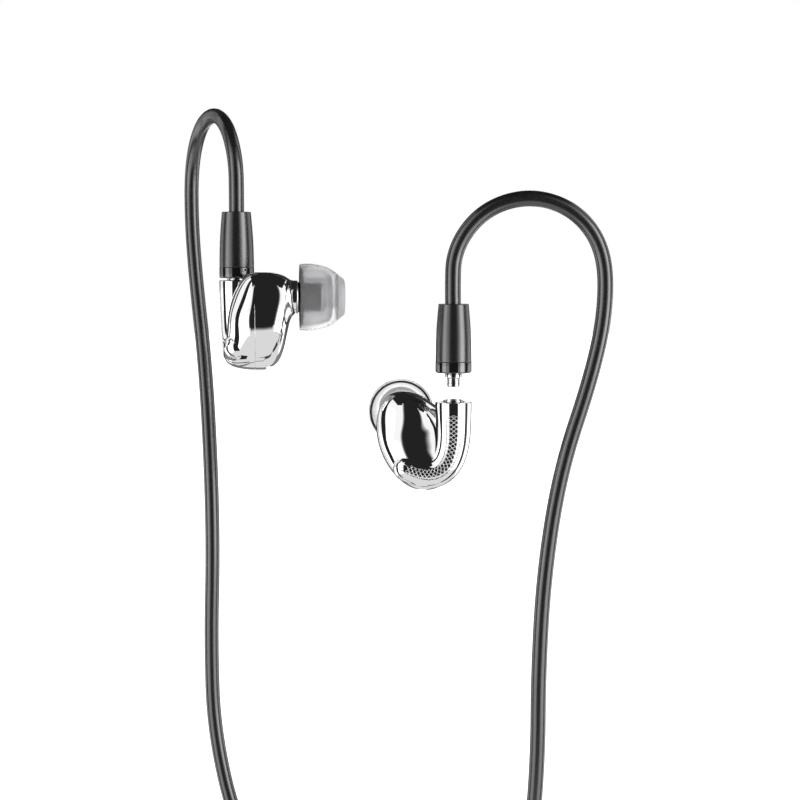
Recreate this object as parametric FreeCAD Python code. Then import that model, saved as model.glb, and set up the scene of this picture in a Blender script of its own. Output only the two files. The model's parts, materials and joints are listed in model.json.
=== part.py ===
import FreeCAD, Part
import os
from math import pi, sin, cos, tan, radians, sqrt

# A pair of over-ear in ear monitors: two chromed two-shell earpieces with silicone tips, each on a
# turning coaxial plug at the end of a preformed ear hook cord. The two cords meet in a splitter, and
# the main cable is wound in a tied coil and ends in a 3.5 mm stereo plug. All sizes in millimetres.
#
# Row frame: origin midway between the tops of the two ear hooks, +Z up, +X to the wearer's left
# earpiece, +Y away from the left earpiece's faceplate towards its ear canal.
# Unit frame (one left earpiece): origin on the connector axis at the socket's top face, +Z up, +Y from
# the faceplate to the ear canal, bowl towards -X. The right earpiece is its mirror image.
# Plug frame: origin on the connector axis at the collar's bottom face, +Z up the cord.

V = FreeCAD.Vector

# ---- places of the two units ------------------------------------------------------------------
LEFT_SOCKET = V(16.5, -13.0, -44.3)
RIGHT_SOCKET = V(-23.3, 2.0, -23.0)
RIGHT_TURN = -85.0            # right earpiece about Z: its nozzle points along +X
LEFT_GAP = 5.2                # collar to socket face, unplugged
RIGHT_GAP = 0.45              # collar to socket face, plugged in
LEFT_HOOK_TURN = 0.0          # azimuth of each ear hook about its connector axis
RIGHT_HOOK_TURN = 114.8

# ---- earpiece ---------------------------------------------------------------------------------
SEAM_Y = 3.25                 # joint plane of the two shells, tangent to the back of the tube
WALL = 0.8
TUBE_R = 3.25                 # curved tube at its socket end
TUBE_END_R = 2.5              # and at its closed lower end
TUBE_WALL = 0.85
TUBE_END_DIR = V(-0.94, 0, 0.34)
TUBE_SPINE = [(0, 0), (0, -5.0), (-0.45, -8.9), (-1.9, -11.7), (-4.2, -12.85), (-6.4, -12.5),
              (-8.25, -11.85)]
# shell outline in the joint plane, (x, z), anticlockwise from behind the tube
SEAM_OUTLINE = [(2.75, -7.2), (2.3, -10.3), (1.05, -12.9), (-0.8, -14.7), (-3.0, -15.9), (-5.4, -16.3),
                (-8.1, -15.5), (-10.3, -13.7), (-12.1, -11.2), (-13.3, -8.2), (-13.75, -4.6),
                (-13.1, -1.2), (-11.5, 0.9), (-9.2, 1.6), (-6.5, 1.05), (-3.9, -0.45), (-1.4, -2.3),
                (1.0, -4.2)]
OUTLINE_CENTRE = V(-5.9, 0, -7.0)
NOZZLE_X, NOZZLE_Z = -9.3, -2.9
NOZZLE_R = 2.95               # neck of the rear shell at the nozzle
NOZZLE_BASE_Y = 11.0
# rear shell: (y, how much of the joint outline is left; the rest is the nozzle circle)
REAR_SECTIONS = [(SEAM_Y, 1.0), (5.4, 0.99), (7.0, 0.91), (8.0, 0.74), (8.8, 0.50), (9.6, 0.22),
                 (10.6, 0.02)]
# front bowl: (y, scale about the outline's centre)
BOWL_SECTIONS = [(SEAM_Y, 1.0), (2.3, 0.98), (1.2, 0.93), (0.1, 0.84), (-0.8, 0.70), (-1.5, 0.50),
                 (-1.85, 0.27)]
BOWL_DEPTH = 5.1
BOWL_OUTLINE = [(-1.6, -6.0), (-2.0, -10.0), (-4.2, -13.9), (-7.2, -15.3), (-10.1, -13.5), (-12.3, -10.3),
                (-13.6, -5.2), (-13.0, -1.3), (-11.2, 0.7), (-8.4, 1.45), (-5.0, 0.2), (-2.4, -2.4)]

# ---- grille in the tube -----------------------------------------------------------------------
GRILLE_HALF, GRILLE_END_HALF = 1.42, 0.8     # half its width at the top and at its lower end
GRILLE_T = 0.35
GRILLE_SPINE = [(0, -3.65), (0, -5.4), (-0.45, -8.9), (-1.85, -11.65), (-4.15, -12.75), (-6.4, -12.45),
                (-7.8, -11.95)]
GRILLE_STATIONS = 11

# ---- driver, a 10 mm moving coil unit on an axis along Y ---------------------------------------
DRIVER_X, DRIVER_Z = -6.3, -7.1
DRIVER_R = 5.0
DRIVER_Y = 3.5
DRIVER_DEPTH = 3.5

# ---- nozzle and tip ---------------------------------------------------------------------------
NOZZLE_TUBE_R = 2.6
NOZZLE_BORE_R = 2.0
NOZZLE_END_Y = 15.3
TIP_REAR_Y, TIP_FRONT_Y = 11.4, 19.5
TIP_R = 6.05
TIP_BORE_R = 2.78

# ---- coaxial connector ------------------------------------------------------------------------
SOCKET_R = 2.05
SOCKET_BORE_R = 1.30
SOCKET_DEPTH = 3.6
PLUG_SHELL_R = 1.18
PLUG_LENGTH = 2.5
COLLAR_H, COLLAR_R = 2.0, 3.22
BARREL_H = 10.2
BARREL_TOP_R, BARREL_MID_R, BARREL_BASE_R = 2.68, 3.07, 3.20
BARREL_TOP = COLLAR_H + BARREL_H

# ---- cords ------------------------------------------------------------------------------------
CORD_D = 2.8
MAIN_D = 3.0
# ear hook, (distance from the connector axis, height above the barrel), then down behind the ear
EAR_HOOK = [(0, -4.0), (-0.2, 2.0), (0, 9.8), (5.1, 16.6), (13.3, 19.2), (21.5, 16.6), (26.6, 9.7),
            (27.0, -1.0), (24.6, -12.8), (19.2, -29.5), (16.4, -48.0), (15.5, -66.0)]
LEFT_DROP = [(32.0, -13.0, -109.0), (31.0, -12.6, -124.0), (23.5, -9.8, -137.5), (10.0, -4.8, -147.5),
             (-2.0, -1.55, -164.0), (-2.0, -1.55, -184.0)]
RIGHT_DROP = [(-30.4, 16.2, -94.5), (-29.9, 15.7, -113.0), (-25.0, 12.9, -132.5), (-13.0, 6.8, -147.5),
              (-2.0, 1.55, -164.0), (-2.0, 1.55, -184.0)]

# ---- coil, wound about an axis along Y ---------------------------------------------------------
COIL_CENTRE = V(18.5, 0, -197.0)
OUTER_TURN_R, INNER_TURN_R = 20.5, 14.5     # the middle layer lies at 17.5
COIL_HALF_W = 5.9
COIL_R_IN, COIL_R_OUT = INNER_TURN_R - 1.45, OUTER_TURN_R + 1.45
PAIR_Y = 1.55                 # the two cords side by side
SPLITTER_X, SPLITTER_LOW, SPLITTER_HIGH = 25.2, -3.0, 7.0
# from the coil's inner turn over its face to the plug, about the coil's centre
LEAD_ROUTE = [(8.0, -5.6, -13.9), (14.3, -6.8, -8.3), (17.8, -8.2, 0.0), (15.7, -9.1, 9.05),
              (9.05, -9.2, 15.7), (0.0, -9.2, 18.1), (-8.0, -9.2, 18.1)]
JACK_START_X = -4.0
JACK_RELIEF_L, JACK_HOUSING_L, JACK_SHAFT_L = 6.0, 15.0, 14.0
JACK_R, JACK_HOUSING_R = 1.75, 3.0

# ---- slider under the ears --------------------------------------------------------------------
SLIDER_BOTTOM_Z, SLIDER_H = -184.0, 6.0
SLIDER_HALF_X, SLIDER_HALF_Y = 2.3, 3.9
SLIDER_BORE_R = CORD_D / 2 + 0.12


# ================================================================================================
# helpers
# ================================================================================================
def save(name, shape):
    """One node: its STEP file and a line with its volume."""
    shape.exportStep("parts/%s.step" % name)
    box = shape.BoundBox
    print("%-24s solids %d volume %9.3f valid %s  box %.1f..%.1f %.1f..%.1f %.1f..%.1f" % (
        name, len(shape.Solids), shape.Volume, shape.isValid(), box.XMin, box.XMax, box.YMin,
        box.YMax, box.ZMin, box.ZMax))


def cylinder(r, z0, z1, x=0.0, y=0.0):
    return Part.makeCylinder(r, z1 - z0, V(x, y, z0), V(0, 0, 1))


def ring(r_in, r_out, z0, z1):
    return cylinder(r_out, z0, z1).cut(cylinder(r_in, z0 - 1, z1 + 1))


def revolve(points):
    """Solid of revolution about Z of a closed outline of (r, z) corners."""
    corners = [V(r, 0, z) for r, z in points]
    face = Part.Face(Part.makePolygon(corners + corners[:1]))
    return face.revolve(V(0, 0, 0), V(0, 0, 1), 360)


def revolve_edges(edges):
    """Solid of revolution about Z of a closed outline given as edges in the XZ plane."""
    return Part.Face(Part.Wire(edges)).revolve(V(0, 0, 0), V(0, 0, 1), 360)


def curve(points):
    spline = Part.BSplineCurve()
    spline.interpolate([V(r, 0, z) for r, z in points])
    return spline.toShape()


def line(a, b):
    return Part.makeLine(V(a[0], 0, a[1]), V(b[0], 0, b[1]))


def oval_wire(half_x, half_y, z):
    """Ellipse in the plane of constant z, its long axis along Y."""
    oval = Part.Ellipse(V(0, 0, z), half_y, half_x).toShape()
    oval.rotate(V(0, 0, z), V(0, 0, 1), 90)
    return Part.Wire([oval])


def to_y_axis(shape, x, z):
    """Turn a shape built about Z so that its axis runs along +Y through (x, z)."""
    turned = shape.copy()
    turned.rotate(V(0, 0, 0), V(1, 0, 0), -90)
    turned.translate(V(x, 0, z))
    return turned


def outline_wire(points, y):
    """Closed smooth curve through (x, z) points in the plane of constant y."""
    spline = Part.BSplineCurve()
    spline.interpolate([V(x, y, z) for x, z in points], PeriodicFlag=True)
    return Part.Wire([spline.toShape()])


def scaled(points, factor):
    """Outline points drawn towards the outline's centre."""
    c = OUTLINE_CENTRE
    return [(c.x + (x - c.x) * factor, c.z + (z - c.z) * factor) for x, z in points]


def inset(points, depth):
    """Outline points moved straight towards the outline's centre by a depth."""
    c, moved = OUTLINE_CENTRE, []
    for x, z in points:
        reach = sqrt((x - c.x) ** 2 + (z - c.z) ** 2)
        keep = (reach - depth) / reach
        moved.append((c.x + (x - c.x) * keep, c.z + (z - c.z) * keep))
    return moved


def towards_nozzle(points, keep, radius):
    """Outline points part of the way to a circle round the nozzle axis."""
    moved = []
    for x, z in points:
        dx, dz = x - NOZZLE_X, z - NOZZLE_Z
        reach = sqrt(dx * dx + dz * dz)
        cx, cz = NOZZLE_X + dx / reach * radius, NOZZLE_Z + dz / reach * radius
        moved.append((cx + (x - cx) * keep, cz + (z - cz) * keep))
    return moved


def rounded_route(points, diameter, name):
    """Straight runs joined by tangent arcs, each arc as large as its two runs allow."""
    pts = [V(*p) for p in points]
    edges, radii, start = [], [], pts[0]
    for before, corner, after in zip(pts, pts[1:], pts[2:]):
        back, ahead = (before - corner), (after - corner)
        run = min(back.Length, ahead.Length)
        turn = pi - back.getAngle(ahead)
        cut = 0.45 * run
        back.normalize()
        ahead.normalize()
        p, q = corner + back * cut, corner + ahead * cut
        middle_dir = back + ahead
        middle_dir.normalize()
        radius = cut / tan(turn / 2)
        sagitta_point = corner + middle_dir * (radius / cos(turn / 2) - radius)
        edges.append(Part.LineSegment(start, p).toShape())
        edges.append(Part.Arc(p, sagitta_point, q).toShape())
        radii.append(radius)
        start = q
    edges.append(Part.LineSegment(start, pts[-1]).toShape())
    wire = Part.Wire(edges)
    print("%s: length %.1f, radii %s, smallest %.1f diameters" % (
        name, wire.Length, " ".join("%.0f" % r for r in radii), min(radii) / diameter))
    return wire


def cord_tube(points, diameter, name):
    """Round cord along a rounded route."""
    wire = rounded_route(points, diameter, name)
    first = V(*points[1]) - V(*points[0])
    section = Part.Wire([Part.makeCircle(diameter / 2, V(*points[0]), first)])
    tube = wire.makePipeShell([section], True, False)
    if tube.Volume < 0:
        tube.reverse()
    print("%s: volume %.1f, section times length %.1f" % (
        name, tube.Volume, pi * diameter ** 2 / 4 * wire.Length))
    return tube


# ================================================================================================
# earpiece, in the unit frame
# ================================================================================================
def tube_solid(r_start, r_end, spine_points):
    """Curved tube about a spine in the XZ plane, its radius easing from one end to the other."""
    spline = Part.BSplineCurve()
    spline.interpolate([V(x, 0, z) for x, z in spine_points], InitialTangent=V(0, 0, -1),
                       FinalTangent=TUBE_END_DIR)
    spine = Part.Wire([spline.toShape()])
    start, end = V(spine_points[0][0], 0, spine_points[0][1]), V(spine_points[-1][0], 0,
                                                                  spine_points[-1][1])
    profiles = [Part.Wire([Part.makeCircle(r_start, start, V(0, 0, -1))]),
                Part.Wire([Part.makeCircle(r_end, end, TUBE_END_DIR)])]
    body = spine.makePipeShell(profiles, True, False)
    return body.fuse(Part.makeSphere(r_end, end))


def rear_body(depth):
    """Rear shell's outside (depth 0) or the hollow inside it (depth = wall)."""
    base = inset(SEAM_OUTLINE, depth) if depth else SEAM_OUTLINE
    wires = []
    for y, keep in REAR_SECTIONS:
        y_in = SEAM_Y + (y - SEAM_Y) * (1 - depth / 8) - (0.02 if depth and y == SEAM_Y else 0)
        wires.append(outline_wire(towards_nozzle(base, keep, NOZZLE_R - depth), y_in))
    return Part.makeLoft(wires, True, False)


def bowl_body(depth):
    """Front bowl's outside or its hollow, from the joint plane forwards."""
    base = inset(BOWL_OUTLINE, depth) if depth else BOWL_OUTLINE
    wires = []
    for y, size in BOWL_SECTIONS:
        y_in = SEAM_Y + (y - SEAM_Y) * (1 - depth / BOWL_DEPTH) + (0.02 if depth and y == SEAM_Y else 0)
        wires.append(outline_wire(scaled(base, size), y_in))
    return Part.makeLoft(wires, True, False)


def grille_slot():
    """Prism of the grille's plan: a tapering strip along the tube, cut from the front."""
    prism = Part.makeCylinder(GRILLE_HALF, 12, V(GRILLE_SPINE[0][0], -12, GRILLE_SPINE[0][1]), V(0, 1, 0))
    spline = Part.BSplineCurve()
    spline.interpolate([V(x, 0, z) for x, z in GRILLE_SPINE], InitialTangent=V(0, 0, -1),
                       FinalTangent=TUBE_END_DIR)
    stations = spline.toShape().discretize(GRILLE_STATIONS)
    last = GRILLE_STATIONS - 1
    sides = [[], []]
    for i, at in enumerate(stations):
        along = stations[min(i + 1, last)] - stations[max(i - 1, 0)]
        along.normalize()
        across = V(along.z, 0, -along.x)
        half = GRILLE_HALF + (GRILLE_END_HALF - GRILLE_HALF) * i / last
        sides[0].append(at + across * half)
        sides[1].append(at - across * half)
    rails = []
    for side in sides:
        rail = Part.BSplineCurve()
        rail.interpolate(side)
        rails.append(rail.toShape())
    ends = [Part.makeLine(sides[0][0], sides[1][0]), Part.makeLine(sides[0][-1], sides[1][-1])]
    strip = Part.Face(Part.Wire(Part.__sortEdges__(rails + ends)))
    strip.translate(V(0, -12, 0))
    end_at = stations[-1]
    cap = Part.makeCylinder(GRILLE_END_HALF, 12, V(end_at.x, -12, end_at.z), V(0, 1, 0))
    return prism.fuse(strip.extrude(V(0, 12, 0))).fuse(cap)


def front_half():
    """Half space in front of the joint plane, as a large box."""
    return Part.makeBox(60, 40, 60, V(-35, SEAM_Y - 40, -35))


def front_shell():
    tube = tube_solid(TUBE_R, TUBE_END_R, TUBE_SPINE)
    outside = tube.fuse(bowl_body(0)).common(front_half())
    channel = tube_solid(TUBE_R - TUBE_WALL, TUBE_END_R - TUBE_WALL, TUBE_SPINE)
    channel = channel.common(Part.makeBox(40, 20, 40, V(-30, -10, -40 - SOCKET_DEPTH)))
    window = Part.makeBox(4.0, 3.4, 4.5, V(-3.8, 0.4, -11.0))
    hollow = channel.fuse(bowl_body(WALL)).fuse(window)
    socket_seat = cylinder(SOCKET_R, -SOCKET_DEPTH, 1)
    return outside.cut(hollow).cut(socket_seat).cut(grille_slot())


def rear_shell():
    """Bowl behind the joint plane; its neck is bored for the nozzle."""
    neck = to_y_axis(cylinder(NOZZLE_R, 10.55, NOZZLE_BASE_Y), NOZZLE_X, NOZZLE_Z)
    body = rear_body(0).fuse(neck)
    seat = to_y_axis(cylinder(2.3, 8.6, 12), NOZZLE_X, NOZZLE_Z)
    return body.cut(rear_body(WALL)).cut(seat)


def acoustic_grille():
    """Curved strip seated flush in the tube's slot."""
    band = tube_solid(TUBE_R - 0.05, TUBE_END_R - 0.05, TUBE_SPINE).cut(
        tube_solid(TUBE_R - 0.05 - GRILLE_T, TUBE_END_R - 0.05 - GRILLE_T, TUBE_SPINE))
    strip = band.common(grille_slot())
    return strip.common(Part.makeBox(30, 20, 30, V(-20, -20, -25)))


def nozzle():
    profile = [(NOZZLE_BORE_R, 9.0), (2.3, 9.0), (2.3, NOZZLE_BASE_Y), (2.72, NOZZLE_BASE_Y),
               (2.72, 11.5), (NOZZLE_TUBE_R, 11.5), (NOZZLE_TUBE_R, 14.5), (2.70, 14.6), (2.70, 15.1),
               (2.6, NOZZLE_END_Y), (2.3, NOZZLE_END_Y), (2.3, 15.0), (NOZZLE_BORE_R, 15.0)]
    return to_y_axis(revolve(profile), NOZZLE_X, NOZZLE_Z)


def nozzle_screen():
    return to_y_axis(cylinder(2.3, 15.0, 15.15), NOZZLE_X, NOZZLE_Z)


def nozzle_damper():
    return to_y_axis(cylinder(NOZZLE_BORE_R, 12.0, 13.5), NOZZLE_X, NOZZLE_Z)


def ear_tip():
    """Silicone tip: a core that grips the nozzle, and a thin domed skirt open to the rear."""
    outer = curve([(5.95, TIP_REAR_Y), (TIP_R, 12.9), (5.85, 14.6), (5.25, 16.6), (4.2, 18.2),
                   (3.45, 19.1)])
    nose = curve([(3.45, 19.1), (3.2, 19.42), (2.9, TIP_FRONT_Y)])
    under = curve([(3.5, 17.3), (4.3, 16.9), (5.0, 15.6), (5.5, 13.6), (5.68, TIP_REAR_Y)])
    corners = [(2.9, TIP_FRONT_Y), (2.0, TIP_FRONT_Y), (2.0, 15.9), (TIP_BORE_R, 15.9),
               (TIP_BORE_R, 11.9), (3.4, 11.9), (3.5, 17.3)]
    edges = [outer, nose] + [line(a, b) for a, b in zip(corners, corners[1:])]
    edges += [under, line((5.68, TIP_REAR_Y), (5.95, TIP_REAR_Y))]
    return to_y_axis(revolve_edges(edges), NOZZLE_X, NOZZLE_Z)


def socket_body():
    profile = [(0.9, -SOCKET_DEPTH), (SOCKET_R, -SOCKET_DEPTH), (SOCKET_R, 0), (1.9, 0), (1.6, -0.45),
               (SOCKET_BORE_R, -0.45), (SOCKET_BORE_R, -0.95), (1.42, -0.95), (1.42, -1.4),
               (SOCKET_BORE_R, -1.4), (SOCKET_BORE_R, -3.0), (0.9, -3.0)]
    return revolve(profile)


def socket_insulator():
    profile = [(0.45, -2.3), (SOCKET_BORE_R, -2.3), (SOCKET_BORE_R, -3.0), (0.9, -3.0), (0.9, -3.9),
               (0.45, -3.9)]
    return revolve(profile)


def socket_contact():
    return cylinder(0.45, -4.4, -0.9).cut(cylinder(0.25, -2.4, 0))


def driver_frame():
    """Steel pot and basket in one: floor, outer wall and the pot's wall round the coil gap."""
    y0 = DRIVER_Y
    floor = cylinder(DRIVER_R, y0, y0 + 0.5)
    wall = ring(DRIVER_R - 0.5, DRIVER_R, y0 + 0.5, y0 + DRIVER_DEPTH)
    pot = ring(3.05, 3.45, y0 + 0.5, y0 + 2.3)
    vent = cylinder(0.6, y0 - 1, y0 + 1)
    return to_y_axis(floor.fuse(wall).fuse(pot).cut(vent), DRIVER_X, DRIVER_Z)


def driver_magnet():
    return to_y_axis(ring(0.6, 2.3, DRIVER_Y + 0.5, DRIVER_Y + 1.9), DRIVER_X, DRIVER_Z)


def driver_top_plate():
    return to_y_axis(ring(0.6, 2.45, DRIVER_Y + 1.9, DRIVER_Y + 2.4), DRIVER_X, DRIVER_Z)


def voice_coil():
    return to_y_axis(ring(2.6, 2.9, DRIVER_Y + 1.3, DRIVER_Y + 2.88), DRIVER_X, DRIVER_Z)


def diaphragm():
    """Thin domed disc with a raised roll round it, glued to the basket's wall."""
    y0, t, dome = DRIVER_Y + 2.95, 0.06, 0.45
    top = [(0.0, dome), (1.6, 0.36), (2.75, 0.0), (3.6, 0.42), (4.4, 0.0)]
    upper = curve([(r, y0 + t + h) for r, h in top])
    lower = curve([(r, y0 + h) for r, h in top])
    rim_in, rim_out = 4.4, DRIVER_R - 0.5
    edges = [upper, line((rim_in, y0 + t), (rim_out, y0 + t)), line((rim_out, y0 + t), (rim_out, y0)),
             line((rim_out, y0), (rim_in, y0)), lower, line((0, y0 + dome), (0, y0 + t + dome))]
    return to_y_axis(revolve_edges(edges), DRIVER_X, DRIVER_Z)


def driver_wires():
    """Two enamelled leads from the socket to the back of the driver."""
    wires = []
    for off in (-0.35, 0.35):
        route = [(off, 0.0, -4.5), (off, 0.2, -6.4), (off * 0.8 - 0.6, 1.0, -8.2),
                 (off * 0.5 - 1.9, 2.2, -8.9 + off), (-3.2, 2.9, -8.6 + off * 1.5),
                 (-4.3, 3.28, -8.2 + off * 1.5)]
        wires.append(cord_tube(route, 0.28, "driver wire"))
    return Part.makeCompound(wires)


# ================================================================================================
# plug on the ear cord, in the plug frame
# ================================================================================================
def plug_collar():
    profile = [(1.5, 0), (2.97, 0), (3.14, 0.07), (COLLAR_R, 0.25), (COLLAR_R, COLLAR_H), (2.2, COLLAR_H),
               (2.2, 0.6), (1.5, 0.6)]
    return revolve(profile)


def plug_barrel():
    """Tapered sleeve with gently bulged sides, bored for the cord."""
    base, top = COLLAR_H, BARREL_TOP
    side = Part.Arc(V(BARREL_BASE_R, 0, base), V(BARREL_MID_R, 0, (base + top) / 2),
                    V(BARREL_TOP_R, 0, top - 0.1)).toShape()
    corners = [(BARREL_TOP_R, top - 0.1), (BARREL_TOP_R - 0.1, top), (CORD_D / 2, top),
               (CORD_D / 2, 7.8), (2.2, 7.4), (2.2, base), (BARREL_BASE_R, base)]
    edges = [side] + [line(a, b) for a, b in zip(corners, corners[1:])]
    return revolve_edges(edges)


def plug_shell():
    """Metal body of the coaxial plug: shell, snap ring groove, flange and rear body."""
    r, end = PLUG_SHELL_R, -PLUG_LENGTH
    profile = [(0.85, end), (r - 0.08, end), (r, end + 0.1), (r, -1.8), (1.0, -1.8), (1.0, -1.4),
               (r, -1.4), (r, -0.7), (1.5, -0.7), (1.5, 0.6), (2.2, 0.6), (2.2, 4.6), (0.85, 4.6)]
    return revolve(profile)


def plug_insulator():
    return ring(0.2, 0.85, -0.6, 4.6)


def plug_pin():
    return cylinder(0.2, -1.9, 5.6)


def snap_ring():
    """Split spring ring, free to turn in the plug's groove."""
    split = Part.makeBox(2, 0.5, 1, V(0.5, -0.25, -2))
    return ring(1.06, 1.25, -1.74, -1.46).cut(split)


# ================================================================================================
# cable, in the row frame
# ================================================================================================
def hook_points(socket, gap, turn):
    """The ear hook's route in the row frame."""
    top = socket.z + gap + BARREL_TOP
    ux, uy = cos(radians(turn)), sin(radians(turn))
    return [(socket.x + s * ux, socket.y + s * uy, top + h) for s, h in EAR_HOOK]


def about_coil(x, y, z):
    return (COIL_CENTRE.x + x, COIL_CENTRE.y + y, COIL_CENTRE.z + z)


def coil_ring():
    """Outer shape of all the turns: a ring with a rounded square section."""
    corner = 1.4
    r0, r1, w = COIL_R_IN, COIL_R_OUT, COIL_HALF_W
    blank = Part.makeCylinder(r1, 2 * w, V(0, 0, -w)).cut(Part.makeCylinder(r0, 2 * w, V(0, 0, -w)))
    blank = blank.makeFillet(corner, blank.Edges)
    return to_y_axis(blank, 0, 0)


def coiled_cable():
    """Coil with the stubs where the cords enter it and the loops through the splitter."""
    body = coil_ring()
    stub_top = LEFT_DROP[-1][2] - COIL_CENTRE.z
    for y in (-PAIR_Y, PAIR_Y):
        stub = cylinder(CORD_D / 2, 0, stub_top, -OUTER_TURN_R, y)
        loop = cord_tube([(11.0, y, -18.5), (20.0, y, -15.5), (SPLITTER_X, y, -9.5),
                          (SPLITTER_X, y, SPLITTER_LOW)], CORD_D, "branch loop")
        body = body.fuse(stub).fuse(loop)
    out = cord_tube([(SPLITTER_X, 0, SPLITTER_HIGH), (SPLITTER_X, 0, 14.0), (20.2, 0, 20.6),
                     (11.5, 0, 23.0), (2.5, 0, 20.5), (-5.0, 0, 15.5)], MAIN_D, "main loop")
    body = body.fuse(out)
    body.translate(COIL_CENTRE)
    return body


def cable_tie():
    """Hook and loop strap round the coil at its lowest point."""
    gap, t, half = 0.1, 1.0, 4.5
    lo, hi, w = COIL_R_IN - gap, COIL_R_OUT + gap, COIL_HALF_W + gap
    outer = Part.makeBox(2 * half, 2 * (w + t), hi - lo + 2 * t, V(-half, -w - t, -hi - t))
    inner = Part.makeBox(2 * half + 2, 2 * w, hi - lo, V(-half - 1, -w, -hi))
    strap = outer.cut(inner)
    long_edges = [e for e in strap.Edges if e.Length > 2 * half - 0.01 and abs(
        e.Vertexes[0].X - e.Vertexes[-1].X) > 2 * half - 0.01]
    strap = strap.makeFillet(0.45, long_edges)
    strap = strap.cut(coil_ring())
    strap.translate(COIL_CENTRE)
    return strap


def y_splitter():
    """Moulded sleeve, wide where the two cords enter and narrow at the main cable."""
    wires = [oval_wire(2.3, 3.3, SPLITTER_LOW), oval_wire(2.3, 3.1, SPLITTER_LOW + 5.0),
             oval_wire(2.05, 2.1, SPLITTER_HIGH)]
    body = Part.makeLoft(wires, True, True)
    body.translate(V(*about_coil(SPLITTER_X, 0, 0)))
    return body


def chin_slider():
    """Oval bead on the two cords, with a through hole for each."""
    body = Part.Face(oval_wire(SLIDER_HALF_X, SLIDER_HALF_Y, 0)).extrude(V(0, 0, SLIDER_H))
    body = body.makeFillet(0.5, [face.OuterWire.Edges[0] for face in body.Faces[1:]])
    body.translate(V(COIL_CENTRE.x - OUTER_TURN_R, 0, SLIDER_BOTTOM_Z))
    for y in (-PAIR_Y, PAIR_Y):
        body = body.cut(cylinder(SLIDER_BORE_R, SLIDER_BOTTOM_Z - 1, SLIDER_BOTTOM_Z + SLIDER_H + 1,
                                 COIL_CENTRE.x - OUTER_TURN_R, y))
    return body


def on_jack_axis(shape):
    """Turn a jack piece built about Z to point along -X in front of the coil."""
    turned = shape.copy()
    turned.rotate(V(0, 0, 0), V(0, 1, 0), -90)
    turned.translate(V(*about_coil(JACK_START_X, LEAD_ROUTE[-1][1], LEAD_ROUTE[-1][2])))
    return turned


def jack_pieces():
    """The 3.5 mm three-pole plug, measured from the mouth of its strain relief."""
    z0 = JACK_RELIEF_L
    z1 = z0 + JACK_HOUSING_L
    end = z1 + JACK_SHAFT_L
    r, core = JACK_R, 0.9
    relief = revolve([(MAIN_D / 2, 0), (1.9, 0), (2.4, z0), (MAIN_D / 2, z0)])
    housing = revolve([(MAIN_D / 2, z0), (2.7, z0), (JACK_HOUSING_R, z0 + 1.2),
                       (JACK_HOUSING_R, z1 - 0.5), (2.6, z1), (r - 0.3, z1), (r - 0.3, z0 + 4),
                       (MAIN_D / 2, z0 + 4)])
    sleeve = revolve([(core, z1 - 6), (r - 0.3, z1 - 6), (r - 0.3, z1), (r, z1), (r, z1 + 7.9),
                      (core, z1 + 7.9)])
    ring_contact = ring(core, r, z1 + 8.6, z1 + 10.0)
    tip_z = z1 + 10.7
    tip = revolve([(0, z1 - 6.5), (0.5, z1 - 6.5), (0.5, tip_z), (r, tip_z), (r, tip_z + 0.3),
                   (1.2, tip_z + 1.1), (1.75, tip_z + 1.9), (1.5, tip_z + 2.6), (0.5, end), (0, end)])
    sheath = ring(0.5, core, z1 - 6, tip_z)
    for low in (z1 + 7.9, z1 + 10.0):
        sheath = sheath.fuse(ring(core, r, low, low + 0.7))
    pieces = {"jack_strain_relief": relief, "jack_housing": housing, "jack_sleeve": sleeve,
              "jack_ring_contact": ring_contact, "jack_tip": tip, "jack_insulator": sheath}
    return {name: on_jack_axis(shape) for name, shape in pieces.items()}


# ================================================================================================
# assembly
# ================================================================================================
EARPIECE = [("front_shell", front_shell), ("rear_shell", rear_shell),
            ("acoustic_grille", acoustic_grille), ("nozzle", nozzle), ("nozzle_screen", nozzle_screen),
            ("nozzle_damper", nozzle_damper), ("ear_tip", ear_tip), ("socket_body", socket_body),
            ("socket_insulator", socket_insulator), ("socket_contact", socket_contact),
            ("driver_frame", driver_frame), ("driver_magnet", driver_magnet),
            ("driver_top_plate", driver_top_plate), ("voice_coil", voice_coil),
            ("diaphragm", diaphragm), ("driver_wires", driver_wires)]
PLUG = [("plug_collar", plug_collar), ("plug_barrel", plug_barrel), ("plug_shell", plug_shell),
        ("plug_insulator", plug_insulator), ("plug_pin", plug_pin), ("snap_ring", snap_ring)]


def place_left(shape, rise=0.0):
    placed = shape.copy()
    placed.translate(LEFT_SOCKET + V(0, 0, rise))
    return placed


def place_right(shape, rise=0.0):
    placed = shape.mirror(V(0, 0, 0), V(1, 0, 0))
    placed.rotate(V(0, 0, 0), V(0, 0, 1), RIGHT_TURN)
    placed.translate(RIGHT_SOCKET + V(0, 0, rise))
    return placed


def main():
    os.makedirs("parts", exist_ok=True)
    for name, make in EARPIECE:
        shape = make()
        save("left_" + name, place_left(shape))
        save("right_" + name, place_right(shape))
    for name, make in PLUG:
        shape = make()
        save("left_" + name, place_left(shape, LEFT_GAP))
        save("right_" + name, place_right(shape, RIGHT_GAP))
    left = hook_points(LEFT_SOCKET, LEFT_GAP, LEFT_HOOK_TURN) + LEFT_DROP
    right = hook_points(RIGHT_SOCKET, RIGHT_GAP, RIGHT_HOOK_TURN) + RIGHT_DROP
    save("left_ear_cord", cord_tube(left, CORD_D, "left ear cord"))
    save("right_ear_cord", cord_tube(right, CORD_D, "right ear cord"))
    save("coiled_cable", coiled_cable())
    save("main_lead", cord_tube([about_coil(*p) for p in LEAD_ROUTE[:-1]] + [
        about_coil(JACK_START_X - 4.0, LEAD_ROUTE[-1][1], LEAD_ROUTE[-1][2])], MAIN_D, "main lead"))
    save("cable_tie", cable_tie())
    save("y_splitter", y_splitter())
    save("chin_slider", chin_slider())
    for name, shape in jack_pieces().items():
        save(name, shape)


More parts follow.
